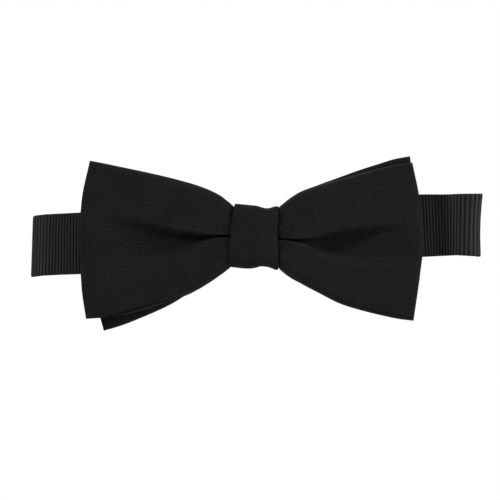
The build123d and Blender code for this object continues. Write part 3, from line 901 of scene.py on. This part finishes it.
STITCH_LENGTH = 2.2
STITCH_RISE = 0.25
STITCH_RADIUS = 0.17


def stitch(centre, direction, normal):
    """One stitch: a bent thread that comes out of the cloth and goes back in."""
    side = np.cross(direction, normal)
    t = np.linspace(-1, 1, 11)
    lift = STITCH_RISE * (1 - np.abs(t) ** 3.0) - STITCH_RADIUS
    line = centre + np.outer(t * STITCH_LENGTH / 2, direction) + np.outer(lift, normal)
    along = np.gradient(line, axis=0)
    along /= np.linalg.norm(along, axis=1)[:, None]
    out = np.cross(side, along)
    turn = np.linspace(0, 2 * np.pi, 8, endpoint=False)
    twist = turn[None, :] + 3.0 * t[:, None]
    pointed = np.where(np.abs(t) > 0.99, 0.02, 1)[:, None]
    swell = STITCH_RADIUS * (1 + 0.12 * np.cos(2 * twist)) * pointed
    ring = np.cos(turn)[None, :, None] * side + np.sin(turn)[None, :, None] * out[:, None, :]
    points = line[:, None, :] + ring * swell[..., None]
    flat = np.zeros((len(t), len(turn) + 1, 2))
    return grid(points, flat, around_j=True)


def stitches(name, places, direction, normal, body, node):
    """A sewn row or rows, in place of the CAD node's plain ones."""
    parts = [stitch(np.array(place), direction, normal) for place in places]
    made = piece(name, parts, sewing_thread, weld=False)
    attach(made, body)
    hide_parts(node)


def on_band(u, y, w):
    """A place given along the band, back from it and up it, in the row frame."""
    return BAND_CENTRE + u * ALONG + y * BACK + w * UP


def two_rows(u, y):
    """Two rows of seven places up the ribbon, 6 mm apart."""
    return [on_band(u + side * 3, y, (n - 3) * 3.0) for side in (-1, 1) for n in range(7)]


FRONTWARD = -BACK
eye_places = two_rows(EYE_X - TACK_BEHIND, 12.0)
stitches("eye_end_stitches", eye_places, UP, BACK, "eye_arm", "eye_tack_stitches")
slider_places = two_rows(SLIDER_X - TACK_BEHIND, 8.6)
stitches("slider_end_stitches", slider_places, UP, FRONTWARD, "slider", "slider_tack_stitches")
keeper_places = [on_band((n - 2) * 2.25, 0.93, 3.0) for n in range(5)]
stitches("keeper_stitches", keeper_places, UP, BACK, "keeper", "keeper_seam_stitches")
knot_places = [((n - 2.5) * 2.7, KNOT_BACK, -4.0) for n in range(6)]
stitches("knot_stitches", knot_places, np.array([0, 0, 1.0]), BACK, "bow", "knot_seam_stitches")


# ---------------------------------------------------------------- floor, light and camera


def area_light(name, place, size, power):
    """A soft square light aimed at the middle of the tie."""
    data = bpy.data.lights.new(name, "AREA")
    data.size = size
    data.energy = power
    light = bpy.data.objects.new(name, data)
    bpy.context.scene.collection.objects.link(light)
    light.location = place
    light.rotation_euler = (-Vector(place)).to_track_quat("-Z", "Y").to_euler()


area_light("key_light", (-1.05, -0.72, 0.8), 0.28, 27)
area_light("side_light", (1.32, -0.5, 0.6), 0.9, 41)
area_light("back_light", (-0.5, 1.1, 0.8), 0.8, 16)

FLOOR_HALF = 4.0
FLOOR_Z = -0.5
FLOOR_STEPS = 33
edge = np.linspace(-FLOOR_HALF, FLOOR_HALF, FLOOR_STEPS)
floor_x, floor_y = np.meshgrid(edge, edge, indexing="ij")
floor_points = np.stack([floor_x, floor_y, FLOOR_Z + 0 * floor_x], -1) / MM
floor_nodes = Nodes("pale_floor")
floor_place = floor_nodes.add("ShaderNodeTexCoord").outputs["Object"]
floor_tone = floor_nodes.noise(floor_place, 3.0)
floor_colour = floor_nodes.ramp(floor_tone, 0.3, 0.7, (0.86, 0.86, 0.86), (0.9, 0.9, 0.9))
floor_nodes.shade(Base_Color=floor_colour, Roughness=0.9, Specular_IOR_Level=0.1)
floor_grid = grid(floor_points, np.zeros((FLOOR_STEPS, FLOOR_STEPS, 2)))
floor = piece("floor", [floor_grid], floor_nodes.material, weld=False)

world = bpy.data.worlds.new("studio")
world.use_nodes = True
bpy.context.scene.world = world
tree = world.node_tree
seen = tree.nodes["Background"]
seen.inputs["Color"].default_value = (1, 1, 1, 1)
seen.inputs["Strength"].default_value = 1.0
lighting = tree.nodes.new("ShaderNodeBackground")
lighting.inputs["Color"].default_value = (0.97, 0.98, 1, 1)
lighting.inputs["Strength"].default_value = 0.27
path = tree.nodes.new("ShaderNodeLightPath")
choose = tree.nodes.new("ShaderNodeMixShader")
tree.links.new(path.outputs["Is Camera Ray"], choose.inputs["Fac"])
tree.links.new(lighting.outputs["Background"], choose.inputs[1])
tree.links.new(seen.outputs["Background"], choose.inputs[2])
tree.links.new(choose.outputs["Shader"], tree.nodes["World Output"].inputs["Surface"])
bpy.context.scene.view_settings.view_transform = "Standard"

camera_data = bpy.data.cameras.new("camera")
camera_data.lens = 237.5
camera_data.sensor_width = 36
camera_data.clip_start = 0.05
camera_data.clip_end = 30
camera = bpy.data.objects.new("camera", camera_data)
bpy.context.scene.collection.objects.link(camera)
camera.location = (-0.0017, -1.2, -0.005)
camera.rotation_euler = (math.radians(90), 0, 0)
bpy.context.scene.camera = camera
